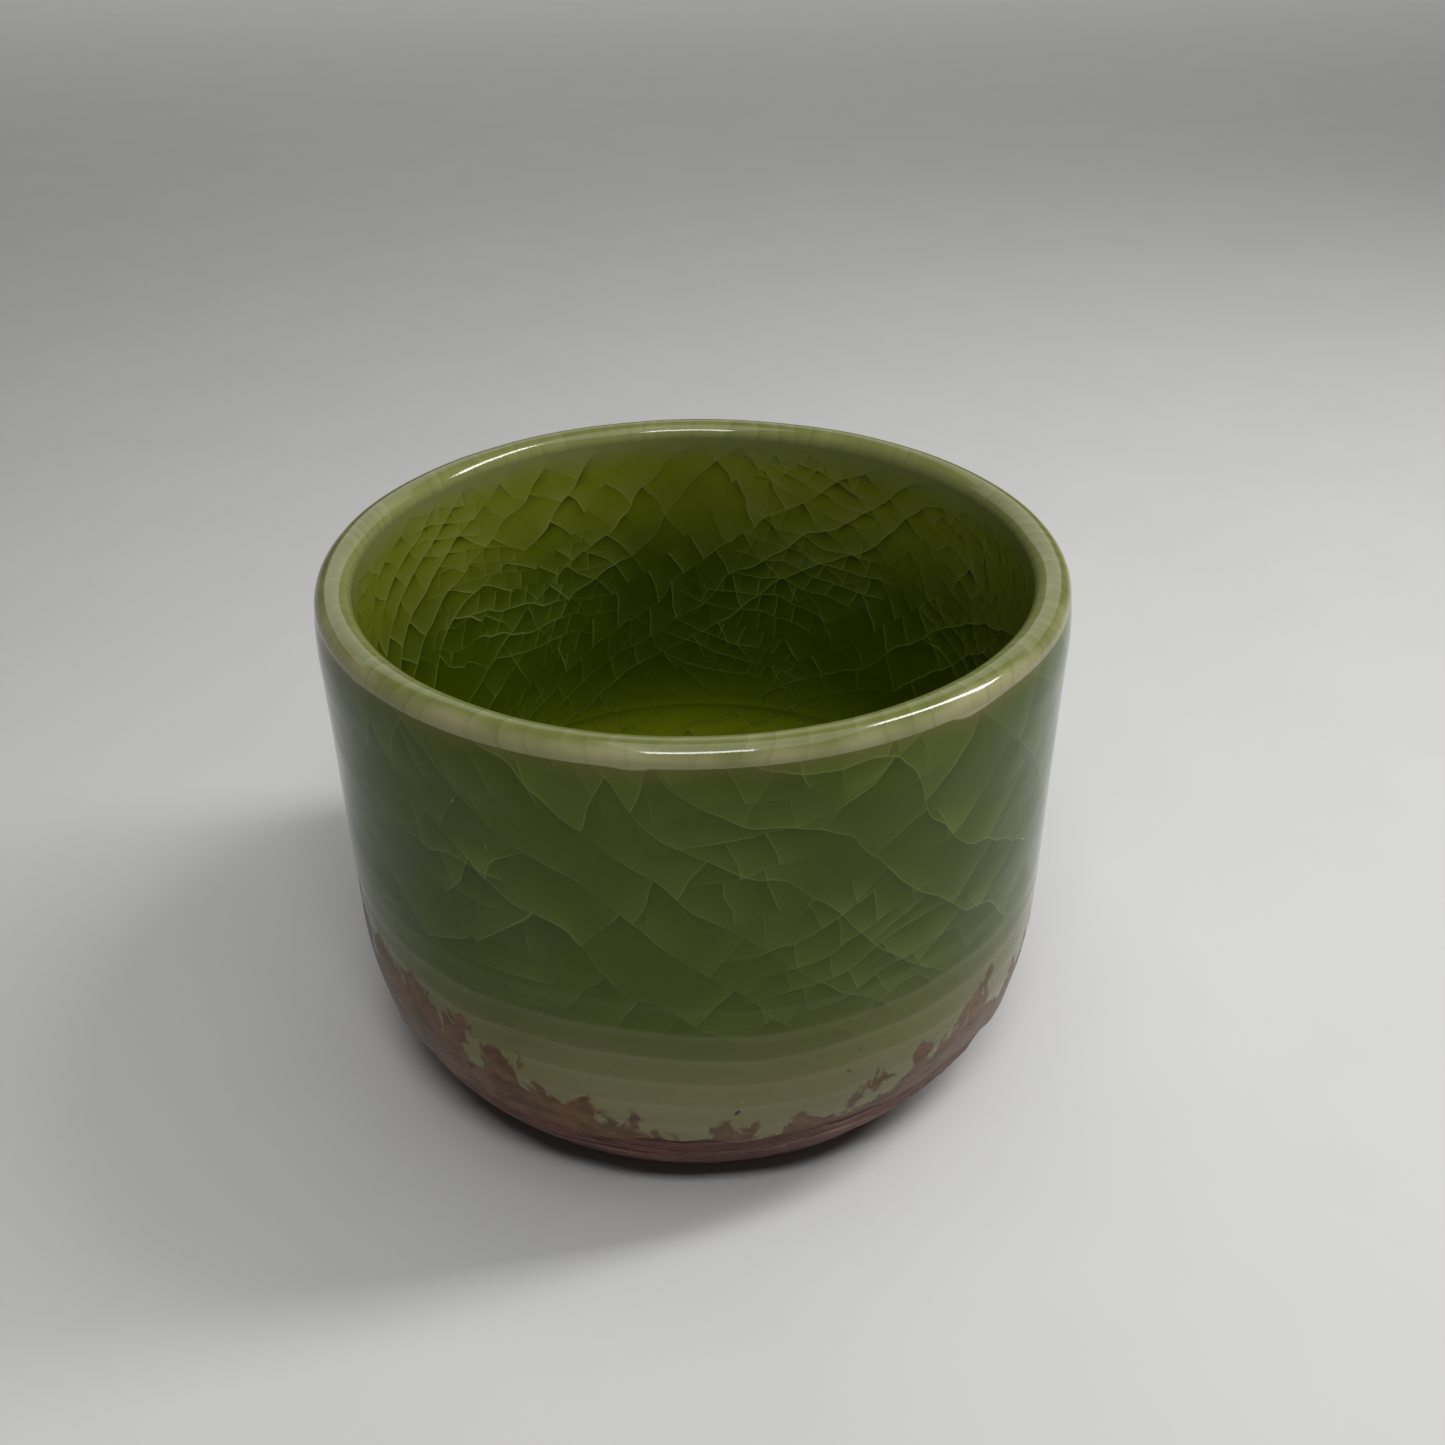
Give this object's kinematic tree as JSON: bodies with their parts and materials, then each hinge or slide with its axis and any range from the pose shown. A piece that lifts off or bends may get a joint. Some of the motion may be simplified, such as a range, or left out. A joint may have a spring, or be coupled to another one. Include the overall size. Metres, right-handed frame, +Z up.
{
  "type": "matcha bowl",
  "caption": "Straight-sided tea bowl on a low foot ring, thrown clay body with a thick crackled celadon glaze and a bare iron-brown band round the base.",
  "frame": {"origin": "centre of the circle the foot ring rests on, at the level of the table", "axes": "+Z up out of the bowl along its axis; +X and +Y are level, and the side shown to a viewer faces -Y"},
  "size_m": [0.1112, 0.1112, 0.0824],
  "materials": {
    "clay": "bare stoneware, matt and slightly gritty",
    "iron_slip": "iron slip, dry satin, brushed in level streaks",
    "outer_glaze": "thick glossy celadon, faint wide crackle",
    "lip_glaze": "thin glossy celadon, pale over the clay",
    "liner_glaze": "thick glossy celadon, strong close crackle"
  },
  "bodies": {
    "root": {"clay_body": "clay", "foot_ring": "clay", "iron_slip": "iron_slip", "outer_glaze": "outer_glaze", "lip_glaze": "lip_glaze", "liner_glaze": "liner_glaze"}
  },
  "joints": []
}
